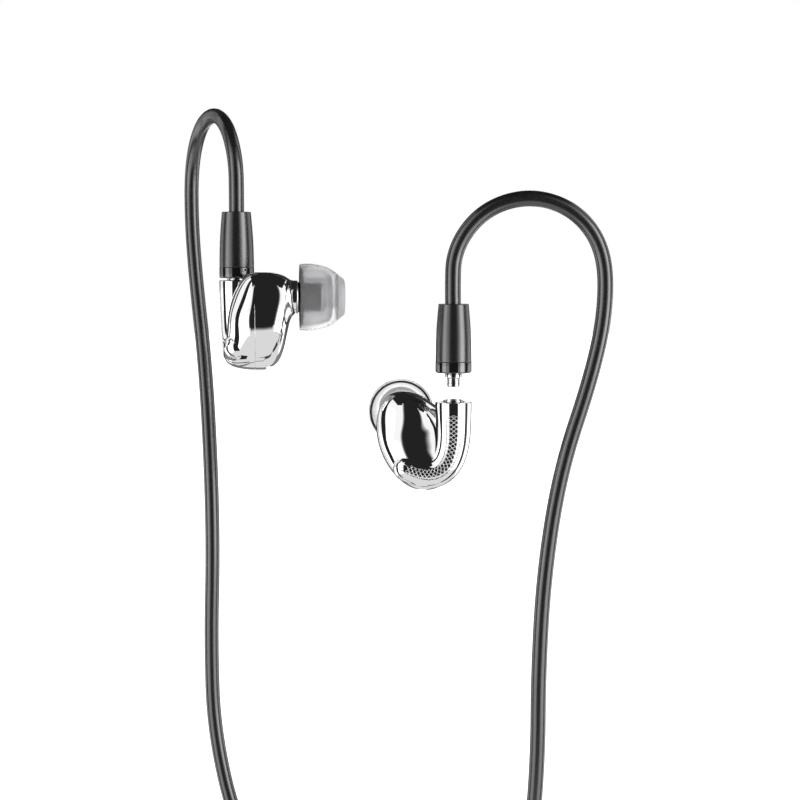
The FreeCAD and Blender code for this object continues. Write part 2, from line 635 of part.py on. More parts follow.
main()
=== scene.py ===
import json
from math import cos, pi, radians, sin

import bpy
import numpy as np
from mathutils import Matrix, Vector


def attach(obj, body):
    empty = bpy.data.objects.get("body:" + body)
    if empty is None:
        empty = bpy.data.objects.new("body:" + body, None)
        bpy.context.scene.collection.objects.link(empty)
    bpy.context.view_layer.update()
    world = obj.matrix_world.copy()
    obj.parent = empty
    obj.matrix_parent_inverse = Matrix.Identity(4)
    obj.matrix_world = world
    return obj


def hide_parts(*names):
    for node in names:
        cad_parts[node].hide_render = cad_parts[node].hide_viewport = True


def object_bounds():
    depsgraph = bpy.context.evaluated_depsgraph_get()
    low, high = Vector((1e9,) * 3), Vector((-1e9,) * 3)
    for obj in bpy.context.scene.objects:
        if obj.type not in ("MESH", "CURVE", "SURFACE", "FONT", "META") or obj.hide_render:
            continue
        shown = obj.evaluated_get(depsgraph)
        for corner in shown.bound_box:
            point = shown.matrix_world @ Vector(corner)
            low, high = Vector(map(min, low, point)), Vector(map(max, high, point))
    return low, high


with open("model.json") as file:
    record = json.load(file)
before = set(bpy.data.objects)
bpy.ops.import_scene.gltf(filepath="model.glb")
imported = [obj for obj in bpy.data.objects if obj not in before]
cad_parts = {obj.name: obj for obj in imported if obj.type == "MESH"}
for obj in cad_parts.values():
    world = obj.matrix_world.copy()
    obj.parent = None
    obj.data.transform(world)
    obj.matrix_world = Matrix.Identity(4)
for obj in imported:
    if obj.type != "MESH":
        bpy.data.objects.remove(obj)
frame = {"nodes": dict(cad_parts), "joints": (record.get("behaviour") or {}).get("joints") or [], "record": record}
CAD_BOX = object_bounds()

MM = 0.001
SIDES = ("left", "right")


# ================================================================================================
# places and sizes, in mm. An earpiece's own frame starts at the mouth of its socket: X runs across
# its face, Y from the face towards the ear, and Z up. The right one is the left one's mirror image.
# ================================================================================================
def socket_mouth(side):
    """The point on the plug's axis that the earpiece turns about."""
    return next(np.array(j["pos_m"]) / MM for j in frame["joints"] if j["name"] == f"{side}_plug_swivel")


SOCKET = {side: socket_mouth(side) for side in SIDES}
RIGHT_TURN = radians(-85.0)                           # of the mirrored earpiece about Z
PLUG_GAP = {"left": 5.2, "right": 0.45}               # from the socket's mouth up to the collar
BARREL_TOP = 12.2                                     # above the collar's foot

# outlines of the earpiece as (x, z)
SEAM_Y = 3.25                                         # joint between the front and rear shells
GROOVE_HALF, GROOVE_INSET = 0.05, 0.985               # of the fine groove at that joint
SEAM_OUTLINE = [(2.75, -7.2), (2.3, -10.3), (1.05, -12.9), (-0.8, -14.7), (-3.0, -15.9), (-5.4, -16.3),
                (-8.1, -15.5), (-10.3, -13.7), (-12.1, -11.2), (-13.3, -8.2), (-13.75, -4.6),
                (-13.1, -1.2), (-11.5, 0.9), (-9.2, 1.6), (-6.5, 1.05), (-3.9, -0.45), (-1.4, -2.3),
                (1.0, -4.2)]
OUTLINE_CENTRE = np.array((-5.9, -7.0))
TUBE_R, TUBE_END_R, TUBE_EASE = 3.25, 2.5, 1.4
TUBE_SPINE = [(0, 0), (0, -5.0), (-0.45, -8.9), (-1.9, -11.7), (-4.2, -12.85), (-6.4, -12.5),
              (-8.25, -11.85)]
TUBE_ENDS = ((0, -1), (-0.94, 0.34))                  # the spine's directions at its two ends
GRILLE_SPINE = [(0, -3.65), (0, -5.4), (-0.45, -8.9), (-1.85, -11.65), (-4.15, -12.75), (-6.4, -12.45),
                (-7.8, -11.95)]
GRILLE_HALF, GRILLE_END_HALF = 1.42, 0.8
NOZZLE = np.array((-9.3, -2.9))
NOZZLE_R = 3.05

# cords: the hook over the ear is (along, above the barrel), the rest (x, y, z)
CORD_D, MAIN_D = 2.8, 3.0
EAR_HOOK = [(0, -4.0), (-0.2, 2.0), (0, 9.8), (5.1, 16.6), (13.3, 19.2), (21.5, 16.6), (26.6, 9.7),
            (27.0, -1.0), (24.6, -12.8), (19.2, -29.5), (16.4, -48.0), (15.5, -66.0)]
HOOK_TURN = {"left": 0.0, "right": radians(114.8)}    # of each hook about Z
DROP = {"left": [(32.0, -13.0, -109.0), (31.0, -12.6, -124.0), (23.5, -9.8, -137.5),
                 (10.0, -4.8, -147.5), (-2.0, -1.55, -164.0), (-2.0, -1.55, -184.0)],
        "right": [(-30.4, 16.2, -94.5), (-29.9, 15.7, -113.0), (-25.0, 12.9, -132.5),
                  (-13.0, 6.8, -147.5), (-2.0, 1.55, -164.0), (-2.0, 1.55, -184.0)]}
# the coil's three layers of turns; the routes below it are measured from its centre
COIL_CENTRE = np.array((18.5, 0.0, -197.0))
OUTER_R, MIDDLE_R, INNER_R = 20.5, 17.5, 14.5
MAIN_RISE = [(25.2, 0, 5.0), (25.2, 0, 12.0), (22.2, 0, 18.6), (16.2, 0, 22.7), (8.7, 0, 23.7),
             (1.0, -0.3, 21.9), (-6.2, -1.2, 18.2)]
LEAD_ROUTE = [(8.0, -7.6, -13.9), (14.3, -7.8, -8.3), (17.8, -8.5, 0.0), (15.7, -9.1, 9.05),
              (9.05, -9.2, 15.7), (0.0, -9.2, 18.1), (-8.0, -9.2, 18.1)]


# ================================================================================================
# curves and meshes
# ================================================================================================
SPAN_STEPS = 60
CORNER_SHARE = 0.45           # the most of a side that a rounded corner takes


def spline(points, count, closed=False, ends=None):
    """Smooth curve through points, resampled at even steps: count points, the last one excluded
    from a closed curve. ends are the directions at the two ends of an open curve."""
    p = np.asarray(points, float)
    n = len(p)
    h = np.linalg.norm(np.roll(p, -1, 0) - p if closed else np.diff(p, axis=0), axis=1)
    a = np.zeros((n, n))
    b = np.zeros_like(p)
    for i in range(n):
        if closed or 0 < i < n - 1:
            before, after = (i - 1) % n, (i + 1) % n
            h0, h1 = h[before], h[i]
            a[i, before] += 1 / h0
            a[i, i] += 2 / h0 + 2 / h1
            a[i, after] += 1 / h1
            b[i] = 3 * ((p[i] - p[before]) / h0 ** 2 + (p[after] - p[i]) / h1 ** 2)
        elif ends is None:
            other = 1 if i == 0 else n - 2
            step = (p[1] - p[0]) / h[0] if i == 0 else (p[-1] - p[-2]) / h[-1]
            a[i, i], a[i, other], b[i] = 2, 1, 3 * step
        else:
            a[i, i] = 1
            end = np.asarray(ends[0] if i == 0 else ends[1], float)
            b[i] = end / np.linalg.norm(end)
    slope = np.linalg.solve(a, b)
    t = np.linspace(0, 1, SPAN_STEPS, endpoint=False)[:, None]
    fine = []
    for i in range(len(h)):
        j = (i + 1) % n
        fine.append((2 * t ** 3 - 3 * t ** 2 + 1) * p[i] + (t ** 3 - 2 * t ** 2 + t) * h[i] * slope[i]
                    + (3 * t ** 2 - 2 * t ** 3) * p[j] + (t ** 3 - t ** 2) * h[i] * slope[j])
    fine = np.vstack(fine + [p[:1] if closed else p[-1:]])
    run = np.concatenate([[0], np.cumsum(np.linalg.norm(np.diff(fine, axis=0), axis=1))])
    at = np.linspace(0, run[-1], count + 1)[:-1] if closed else np.linspace(0, run[-1], count)
    return np.stack([np.interp(at, run, fine[:, k]) for k in range(p.shape[1])], 1)


def length_of(points):
    return float(np.linalg.norm(np.diff(points, axis=0), axis=1).sum())


class Pile:
    """Vertices, faces and material numbers of one mesh, in mm."""

    def __init__(self):
        self.verts, self.faces, self.mats, self.count = [], [], [], 0

    def add(self, verts, faces, mat):
        self.verts.append(np.asarray(verts, float).reshape(-1, 3))
        self.faces += [tuple(i + self.count for i in f) for f in faces]
        self.mats += [mat] * len(faces)
        self.count += len(self.verts[-1])

    def grid(self, rings, mat=0, around=True, caps=(False, False)):
        """Rings of equal counts joined by quads, with a fan over each end that is capped."""
        rings = np.asarray(rings, float)
        rows, cols = rings.shape[:2]
        faces = []
        for r in range(rows - 1):
            for c in range(cols if around else cols - 1):
                d = (c + 1) % cols
                faces.append((r * cols + c, r * cols + d, (r + 1) * cols + d, (r + 1) * cols + c))
        verts = rings.reshape(-1, 3)
        for capped, row in zip(caps, (0, rows - 1)):
            if capped:
                centre = len(verts)
                verts = np.vstack([verts, rings[row].mean(0)])
                for c in range(cols):
                    a, b = row * cols + c, row * cols + (c + 1) % cols
                    faces.append((centre, b, a) if row == 0 else (centre, a, b))
        self.add(verts, faces, mat)

    def build(self, name, materials, sharp=35.0, flip=False):
        """The mesh as an object; flip turns the faces of a mirrored piece outwards again."""
        verts = np.vstack(self.verts) * MM
        faces = [f[::-1] for f in self.faces] if flip else self.faces
        mesh = bpy.data.meshes.new(name)
        mesh.from_pydata(verts.tolist(), [], faces)
        mesh.polygons.foreach_set("material_index", self.mats)
        for material in materials:
            mesh.materials.append(material)
        mesh.polygons.foreach_set("use_smooth", [True] * len(faces))
        mesh.set_sharp_from_angle(angle=radians(sharp))
        mesh.update()
        obj = bpy.data.objects.new(name, mesh)
        bpy.context.scene.collection.objects.link(obj)
        return obj


def rounded(profile, radius, steps=5):
    """Profile (r, z) with each inner corner turned into a small arc."""
    p = [np.array(q, float) for q in profile]
    out = [p[0]]
    for before, corner, after in zip(p, p[1:], p[2:]):
        u, v = before - corner, after - corner
        cut = min(radius, CORNER_SHARE * np.linalg.norm(u), CORNER_SHARE * np.linalg.norm(v))
        u, v = u / np.linalg.norm(u), v / np.linalg.norm(v)
        for t in np.linspace(0, 1, steps):
            out.append(corner + u * cut * (1 - t) ** 2 + v * cut * t ** 2)
    out.append(p[-1])
    return out


TURN_SEGMENTS, TIP_SEGMENTS = 96, 128
TURNED_SHARP = 50.0


def revolve(pile, profile, to_row, segments=TURN_SEGMENTS):
    """Ring of a profile of (r, z) points about Z, placed by to_row."""
    angle = np.linspace(0, 2 * pi, segments, endpoint=False)
    rings = [np.stack([r * np.cos(angle), r * np.sin(angle), np.full(segments, z)], 1)
             for r, z in profile]
    pile.grid(to_row(np.array(rings)))


def turned(name, profile, to_row, material, radius):
    """Turned piece whose profile has its corners rounded to a radius."""
    pile = Pile()
    revolve(pile, rounded(profile, radius), to_row)
    return pile.build(name, [material], TURNED_SHARP)


def settle(piece, body, node):
    """Makes a piece ride on a body and stand for a node."""
    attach(piece, body)
    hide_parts(node)


# ================================================================================================
# frames of the earpieces and plugs
# ================================================================================================
def unit_frame(side):
    """Maps points of the earpiece's own frame to the model's."""
    if side == "left":
        return lambda q: np.asarray(q, float) + SOCKET["left"]
    c, s = cos(RIGHT_TURN), sin(RIGHT_TURN)
    turn = np.array([[-c, -s, 0], [-s, c, 0], [0, 0, 1]])
    return lambda q: np.asarray(q, float) @ turn.T + SOCKET["right"]


def plug_frame(side):
    """Maps points measured from the collar's foot to the model's frame."""
    foot = SOCKET[side] + (0, 0, PLUG_GAP[side])
    return lambda q: np.asarray(q, float) + foot


def nozzle_axis(to_row):
    """Points built about Z, turned so that Z runs along the nozzle."""
    def place(q):
        q = np.asarray(q, float)
        return to_row(np.stack([q[..., 0] + NOZZLE[0], q[..., 2], -q[..., 1] + NOZZLE[1]], -1))
    return place


# ================================================================================================
# materials
# ================================================================================================
WHITE = (1, 1, 1, 1)
NOISE_DETAIL = 3.0
RAMP_STOPS = (0.3, 0.7)       # of the noise, where the two colours of a material are reached


def shader(name, colour, metallic, roughness, **sockets):
    """Principled material; sockets are given by name with underscores for spaces."""
    material = bpy.data.materials.new(name)
    material.use_nodes = True
    node = material.node_tree.nodes["Principled BSDF"]
    node.inputs["Base Color"].default_value = (*colour, 1)
    node.inputs["Metallic"].default_value = metallic
    node.inputs["Roughness"].default_value = roughness
    for key, value in sockets.items():
        node.inputs[key.replace("_", " ")].default_value = value
    return material


def worn(material, scale, rough=None, colour=None, bump=None):
    """Noise in the material's roughness, colour and height. bump is (strength, height in mm)."""
    tree = material.node_tree
    node = tree.nodes["Principled BSDF"]
    coords = tree.nodes.new("ShaderNodeTexCoord")
    noise = tree.nodes.new("ShaderNodeTexNoise")
    noise.inputs["Scale"].default_value = scale
    noise.inputs["Detail"].default_value = NOISE_DETAIL
    tree.links.new(coords.outputs["Object"], noise.inputs["Vector"])
    if rough:
        span = tree.nodes.new("ShaderNodeMapRange")
        span.inputs["To Min"].default_value, span.inputs["To Max"].default_value = rough
        tree.links.new(noise.outputs["Fac"], span.inputs["Value"])
        tree.links.new(span.outputs["Result"], node.inputs["Roughness"])
    if colour:
        ramp = tree.nodes.new("ShaderNodeValToRGB")
        for stop, position, shade in zip(ramp.color_ramp.elements, RAMP_STOPS, colour):
            stop.position = position
            stop.color = (*shade, 1)
        tree.links.new(noise.outputs["Fac"], ramp.inputs["Fac"])
        tree.links.new(ramp.outputs["Color"], node.inputs["Base Color"])
    if bump:
        height = tree.nodes.new("ShaderNodeBump")
        height.inputs["Strength"].default_value = bump[0]
        height.inputs["Distance"].default_value = bump[1] * MM
        tree.links.new(noise.outputs["Fac"], height.inputs["Height"])
        tree.links.new(height.outputs["Normal"], node.inputs["Normal"])
    return material


def glowing(name, level):
    """Matt sheet of one even brightness."""
    return shader(name, (0.0, 0.0, 0.0), 0.0, 1.0, Specular_IOR_Level=0.0, Emission_Strength=level,
                  Emission_Color=WHITE)


CHROME = worn(shader("polished_chrome", (0.93, 0.93, 0.935), 1.0, 0.02), 900, rough=(0.012, 0.035))
GRILLE = worn(shader("grille_wire", (0.95, 0.95, 0.955), 1.0, 0.5), 2500, rough=(0.45, 0.55))
PLATE = worn(shader("grille_plate", (0.90, 0.90, 0.905), 1.0, 0.05), 1500, rough=(0.03, 0.08))
NOZZLE_METAL = worn(shader("nozzle_metal", (0.03, 0.03, 0.032), 1.0, 0.3), 800, rough=(0.25, 0.36))
SCREEN = worn(shader("fine_mesh", (0.35, 0.35, 0.36), 1.0, 0.4), 6000, rough=(0.3, 0.6),
              bump=(0.6, 0.05))
FOAM = worn(shader("acoustic_foam", (0.05, 0.05, 0.052), 0.0, 0.95), 4000, bump=(0.8, 0.1))
SILICONE = worn(shader("ear_tip_silicone", (0.87, 0.87, 0.88), 0.0, 0.58, IOR=1.065,
                       Transmission_Weight=0.95, Specular_IOR_Level=0.3), 350, rough=(0.54, 0.62),
                bump=(0.05, 0.02))
# painted dark reflection: an opaque black band on the tip's bevelled rear edge stands in for the dark line
# reflected there
SILICONE_PAINTED_DARK_REFLECTION = worn(shader("ear_tip_painted_dark_reflection", (0.03, 0.03, 0.032), 0.0, 0.5), 350, rough=(0.46, 0.56))
# painted shade: a darker, less clear copy of the tip's silicone on its nose stands in for the darkening of the
# thicker silicone there
SILICONE_NOSE_PAINTED_SHADE = worn(shader("ear_tip_nose_painted_shade", (0.40, 0.40, 0.41), 0.0, 0.5, IOR=1.06,
                            Transmission_Weight=0.3), 350, rough=(0.46, 0.56), bump=(0.05, 0.02))
CONTACT = worn(shader("contact_chrome", (0.55, 0.55, 0.56), 1.0, 0.12), 1500, rough=(0.08, 0.14))
GOLD = worn(shader("gold_contact", (0.95, 0.70, 0.32), 1.0, 0.15), 1500, rough=(0.1, 0.2))
INSULATOR = worn(shader("contact_insulator", (0.03, 0.03, 0.03), 0.0, 0.5), 900, rough=(0.4, 0.6))
COLLAR = worn(shader("gloss_black_collar", (0.004, 0.004, 0.0045), 0.0, 0.06, IOR=2.0), 900,
              rough=(0.04, 0.08))
BARREL = worn(shader("satin_black_barrel", (0.005, 0.005, 0.0055), 0.0, 0.25, IOR=2.0), 1200,
              rough=(0.23, 0.28), bump=(0.02, 0.01))
JACKET = worn(shader("cord_jacket", (0.005, 0.005, 0.0055), 0.0, 0.25, IOR=1.95), 1100, rough=(0.23, 0.27),
              colour=((0.005, 0.005, 0.0055), (0.008, 0.008, 0.0085)), bump=(0.02, 0.008))
TIE = worn(shader("tie_fabric", (0.02, 0.02, 0.021), 0.0, 0.9, Sheen_Weight=0.4), 2600,
           colour=((0.012, 0.012, 0.013), (0.035, 0.035, 0.036)), bump=(0.7, 0.12))
STEEL = worn(shader("driver_steel", (0.55, 0.55, 0.56), 1.0, 0.3), 900, rough=(0.25, 0.4))
MAGNET = worn(shader("magnet_plating", (0.62, 0.61, 0.6), 1.0, 0.2), 900, rough=(0.15, 0.28))
COPPER = worn(shader("enamelled_copper", (0.72, 0.32, 0.16), 1.0, 0.3), 3000, rough=(0.2, 0.4),
              bump=(0.4, 0.02))
FILM = worn(shader("diaphragm_film", (0.75, 0.72, 0.6), 0.0, 0.3), 900, rough=(0.25, 0.4))
FLOOR = shader("studio_floor", (0.8, 0.8, 0.8), 0.0, 0.8, Emission_Strength=0.72, Emission_Color=WHITE)

BLACK_LEVEL, GREY_LEVEL = 0.017, 0.74
BLACK_CARD = glowing("black_card", BLACK_LEVEL)
GREY_CARD = glowing("grey_card", GREY_LEVEL)
OUTLINE_CARD = glowing("outline_card", 0.08)
OUTLINE_FLOOR = glowing("outline_floor_card", 0.22)

# finishes of the frame's own pieces, by their material slot
SLOT_LOOKS = {"fine_mesh": SCREEN, "foam": FOAM, "insulator": INSULATOR, "gold_contact": GOLD,
              "driver_steel": STEEL, "magnet": MAGNET, "copper": COPPER, "diaphragm_film": FILM,
              "contact_metal": CONTACT, "satin_barrel": BARREL, "cord_jacket": JACKET,
              "tie_fabric": TIE}
for part in frame["record"]["subparts"]:
    if part["material_slot"] in SLOT_LOOKS:
        for place in frame["nodes"][part["node"]].material_slots:
            place.material = SLOT_LOOKS[part["material_slot"]]


# ================================================================================================
# earpieces: the sound tube with the grille's recess, the bowl and the rear shell
# ================================================================================================
def spine_frame(spine, rows):
    """Even points along a spine on the face, and the directions along and across it."""
    line = spline(spine, rows, ends=TUBE_ENDS)
    along = np.gradient(line, axis=0)
    along /= np.linalg.norm(along, axis=1)[:, None]
    across = np.stack([along[:, 1], -along[:, 0]], 1)
    return line, along, across


def tube_radius(fraction):
    return TUBE_R + (TUBE_END_R - TUBE_R) * fraction ** TUBE_EASE


def grille_half(fraction):
    return GRILLE_HALF + (GRILLE_END_HALF - GRILLE_HALF) * fraction


def on_tube(centre, across, u, v):
    """u sideways and v forwards of the tube's centreline."""
    return np.stack([centre[..., 0] + u * across[..., 0], -v, centre[..., 1] + u * across[..., 1]], -1)


TUBE_ROWS = 260
# points across the tube's front, as u, closer together at the recess's edge: (from, to, count)
FRONT_SPANS = [(-1.75, -1.45, 5), (-1.42, -1.26, 9), (-1.2, 1.2, 41), (1.26, 1.42, 9), (1.45, 1.75, 5)]
FRONT_SHARE = 0.92            # the most of the tube's radius that they may reach
BACK_COUNT = 90               # points round the rest of each ring
RECESS_STEPS = 240
RECESS_DEPTH, RECESS_EDGE = 0.26, 0.07
BORE_R, BORE_DEPTH = 2.05, 3.0
MOUTH_ROUND, MOUTH_STEPS = 0.16, 6
MOUTH_END = -0.2              # the tube's own rings start below it
TAIL_ANGLES = np.radians(np.linspace(6, 84, 14))


def recess_distance(points):
    """Distance inside (negative) or outside the grille's rounded strip, for (x, z) points."""
    line = spline(GRILLE_SPINE, RECESS_STEPS, ends=TUBE_ENDS)
    flat = points.reshape(-1, 2)
    nearest = np.full(len(flat), np.inf)
    for i, q in enumerate(line):
        half = grille_half(i / (RECESS_STEPS - 1))
        nearest = np.minimum(nearest, np.hypot(flat[:, 0] - q[0], flat[:, 1] - q[1]) - half)
    return nearest.reshape(points.shape[:2])


def tube_mesh(pile):
    """The hooked tube: its rounded mouth and bore, its length and its rounded lower end."""
    line, along, across = spine_frame(TUBE_SPINE, TUBE_ROWS)
    radius = tube_radius(np.linspace(0, 1, TUBE_ROWS))
    u = np.concatenate([np.linspace(*span) for span in FRONT_SPANS])
    rings = []
    for centre, sideways, r in zip(line, across, radius):
        narrow = min(1.0, FRONT_SHARE * r / u[-1])
        edge = np.arcsin(narrow * u[-1] / r)
        angle = np.concatenate([np.arcsin(narrow * u / r),
                                np.linspace(edge, 2 * pi - edge, BACK_COUNT + 2)[1:-1]])
        rings.append(on_tube(centre, sideways, r * np.sin(angle), r * np.cos(angle)))
    rings = np.array(rings)
    front = rings[:, :len(u)]
    inside = np.clip(-recess_distance(front[..., [0, 2]]) / RECESS_EDGE, 0, 1)
    front[..., 1] += RECESS_DEPTH * (inside ** 2 * (3 - 2 * inside))
    mouth = []
    corners = [(BORE_R, -BORE_DEPTH), (BORE_R, 0), (TUBE_R, 0), (TUBE_R, 2 * MOUTH_END)]
    for r, z in rounded(corners, MOUTH_ROUND, MOUTH_STEPS)[:-1]:
        mouth.append(rings[0] * (r / TUBE_R, r / TUBE_R, 1) + (0, 0, z))
    tail = []
    end = np.array((line[-1, 0], 0, line[-1, 1]))
    out = np.array((along[-1, 0], 0, along[-1, 1]))
    for angle in TAIL_ANGLES:
        tail.append((rings[-1] - end) * cos(angle) + end + out * TUBE_END_R * sin(angle))
    below = rings[rings[:, 0, 2] < MOUTH_END]
    pile.grid(np.concatenate([np.array(mouth), below, np.array(tail)]), caps=(False, True))


CROWN, CROWN_LEAN, CROWN_Z = 4.8, 0.26, -7.5
CROWN_START = 0.06            # angle at which the bowl leaves the joint, from square to it
CROWN_DROP = 0.2              # fullness of its lower half
# fullness of the bowl's section by height: (z, power)
FULLNESS = [(-17.0, 4.4), (-15.0, 4.0), (-13.0, 2.9), (-11.2, 2.0), (-9.5, 1.65), (-7.0, 1.6), (3.0, 1.6)]
# the bowl's ridge by height: (z, sideways shift, stretch across)
RIDGE = [(-17.0, 0.0, 1.0), (-13.0, 0.2, 1.06), (-10.2, -0.7, 1.06), (-8.0, -1.55, 1.03), (-6.0, -1.5, 1.0),
         (-4.0, -0.4, 1.0), (-2.0, 0.8, 1.0), (0.2, 1.7, 1.0), (3.0, 2.1, 1.0)]
BOWL_COUNT, BOWL_ROWS = 240, 80
HEIGHT_STEPS = 200


def groove_ring(edge):
    """The floor of the groove at the joint, for the joint's outline."""
    return np.insert(OUTLINE_CENTRE + (edge - OUTLINE_CENTRE) * GROOVE_INSET, 1, SEAM_Y, axis=1)


def bowl_mesh(pile):
    """Crowned front over the joint's outline; its ridge sways from side to side."""
    edge = spline(SEAM_OUTLINE, BOWL_COUNT, closed=True)
    ridge = spline(RIDGE, HEIGHT_STEPS)
    full = spline(FULLNESS, HEIGHT_STEPS)
    rings = [groove_ring(edge)]
    for angle in np.linspace(CROWN_START, pi / 2, BOWL_ROWS)[:-1]:
        size = cos(angle) / cos(CROWN_START)
        plan = OUTLINE_CENTRE + (edge - OUTLINE_CENTRE) * size
        plan[:, 1] -= CROWN_DROP * (1 - size ** 2) * np.maximum(OUTLINE_CENTRE[1] - plan[:, 1], 0)
        height = CROWN + CROWN_LEAN * np.log1p(np.exp(CROWN_Z - plan[:, 1]))
        power = np.interp(plan[:, 1], full[:, 0], full[:, 1])
        begun = (1 - cos(CROWN_START) ** power) ** 0.5
        rise = ((1 - cos(angle) ** power) ** 0.5 - begun) / (1 - begun)
        shift, stretch = (np.interp(plan[:, 1], ridge[:, 0], ridge[:, k]) for k in (1, 2))
        aside = (shift + (plan[:, 0] - OUTLINE_CENTRE[0]) * (stretch - 1)) * (1 - size ** 2)
        y = SEAM_Y - GROOVE_HALF - (height - GROOVE_HALF) * rise
        rings.append(np.stack([plan[:, 0] + aside, y, plan[:, 1]], 1))
    pile.grid(rings[::-1], caps=(True, False))


# the rear shell's sections: (y, share of the way from the neck's circle out to the joint's outline)
REAR_SECTIONS = [(3.25, 1.0), (5.2, 0.995), (6.3, 0.96), (7.2, 0.89), (7.9, 0.79), (8.6, 0.60), (9.25, 0.30),
                 (9.65, 0.13), (10.0, 0.05), (10.6, 0.0)]
REAR_ENDS = ((1, 0), (1, -0.05))
REAR_COUNT, REAR_ROWS = 220, 70
NECK_END = [(1.0, 10.9), (0.985, 10.98), (0.95, 11.0), (0.8, 11.0)]    # (share of the radius, y)


def rear_mesh(pile):
    """Back half, drawn in from the joint's outline to the round neck."""
    edge = spline(SEAM_OUTLINE, REAR_COUNT, closed=True)
    away = edge - NOZZLE
    circle = NOZZLE + away / np.linalg.norm(away, axis=1)[:, None] * NOZZLE_R
    rings = [groove_ring(edge)]
    for y, share in spline(REAR_SECTIONS, REAR_ROWS, ends=REAR_ENDS):
        section = circle + (edge - circle) * min(share, 1.0)
        rings.append(np.insert(section, 1, max(y, SEAM_Y + GROOVE_HALF), axis=1))
    for share, y in NECK_END:
        rings.append(np.insert(NOZZLE + (circle - NOZZLE) * share, 1, y, axis=1))
    pile.grid(rings)


# ================================================================================================
# earpieces: the grille
# ================================================================================================
STRIP_ROWS, TUBE_STEPS = 200, 400
PLATE_ROWS, PLATE_COLS = 180, 17
PLATE_LIFT, PLATE_MARGIN = -0.15, 0.02
WIRE_PITCH, WIRE_SLOPE = 0.76, 0.74
WIRE_SPAN = 2 * GRILLE_HALF * WIRE_SLOPE              # what a wire climbs from edge to edge
WIRE_HALF_W, WIRE_HALF_H, WEAVE_RISE = 0.045, 0.034, 0.018
WIRE_LIFT, WIRE_MARGIN = -0.08, 0.01
WIRE_SIDES, WIRE_SQUARE = 12, 0.6
WIRE_STEPS, WIRE_LEAST = 46, 3
WIRE_SHARP = 60.0
LEAST_SQUARE = 0.01           # of a place's distance in front of the tube's centreline


class Strip:
    """The grille's strip on the tube: s runs along it, u across it."""

    def __init__(self):
        self.ways = spine_frame(GRILLE_SPINE, STRIP_ROWS)
        self.length = length_of(self.ways[0])
        tube = spline(TUBE_SPINE, TUBE_STEPS, ends=TUBE_ENDS)
        nearest = [np.argmin(np.hypot(*(tube - q).T)) for q in self.ways[0]]
        self.radius = tube_radius(np.array(nearest) / (TUBE_STEPS - 1))

    def half(self, s):
        """Half the strip's width, apart from its rounded ends."""
        return grille_half(np.clip(s / self.length, 0, 1))

    def past(self, s):
        """How far s is past either end."""
        return np.maximum(0, np.maximum(-s, s - self.length))

    def place(self, s, u, lift):
        """Points at s and u, lifted off the tube's surface."""
        on_strip = np.clip(s, 0, self.length)
        at, rows = on_strip / self.length * (STRIP_ROWS - 1), np.arange(STRIP_ROWS)
        centre, along, across = (np.stack([np.interp(at, rows, way[:, k]) for k in (0, 1)], -1)
                                 for way in self.ways)
        centre = centre + along * (s - on_strip)[..., None]
        r = np.interp(at, rows, self.radius)
        v = np.sqrt(np.maximum(r ** 2 - u ** 2, LEAST_SQUARE))
        grown = (r + lift) / r
        return on_tube(centre, across, u * grown, v * grown)


def plate_mesh(pile, strip):
    """Polished plate under the wires."""
    s = np.linspace(-GRILLE_HALF, strip.length + GRILLE_END_HALF, PLATE_ROWS)
    reach = np.sqrt(np.maximum((strip.half(s) - PLATE_MARGIN) ** 2 - strip.past(s) ** 2, 0))
    u = reach[:, None] * np.linspace(-1, 1, PLATE_COLS)
    pile.grid(strip.place(np.repeat(s[:, None], PLATE_COLS, 1), u, PLATE_LIFT), mat=1, around=False)


def wire_mesh(pile, strip, start, way):
    """One flat wire across the strip, climbing (way 1) or falling (way -1), over and under."""
    u = np.linspace(-GRILLE_HALF, GRILLE_HALF, WIRE_STEPS)
    s = start + way * WIRE_SLOPE * u + WIRE_SPAN / 2
    inside = np.hypot(u, strip.past(s)) < strip.half(s) - WIRE_MARGIN
    if inside.sum() <= WIRE_LEAST:
        return
    u, s = u[inside], s[inside]
    lift = WIRE_LIFT + way * WEAVE_RISE * np.cos(2 * pi * WIRE_SLOPE * u / WIRE_PITCH)
    along = np.array((1.0, way * WIRE_SLOPE)) / np.hypot(1, WIRE_SLOPE)
    sides = []
    for a in 2 * pi * (np.arange(WIRE_SIDES) + 0.5) / WIRE_SIDES:
        wide = WIRE_HALF_W * np.sign(cos(a)) * abs(cos(a)) ** WIRE_SQUARE
        tall = WIRE_HALF_H * np.sign(sin(a)) * abs(sin(a)) ** WIRE_SQUARE
        sides.append(strip.place(s + along[0] * wide, u - along[1] * wide, lift + tall))
    pile.grid(np.stack(sides[::way], 1), caps=(True, True))


def grille_mesh(pile):
    """Plain weave of flat wires laid on the tube, over the plate."""
    strip = Strip()
    plate_mesh(pile, strip)
    for way in (1, -1):
        for start in np.arange(-GRILLE_HALF - WIRE_SPAN, strip.length + GRILLE_HALF + WIRE_SPAN, WIRE_PITCH):
            wire_mesh(pile, strip, start, way)


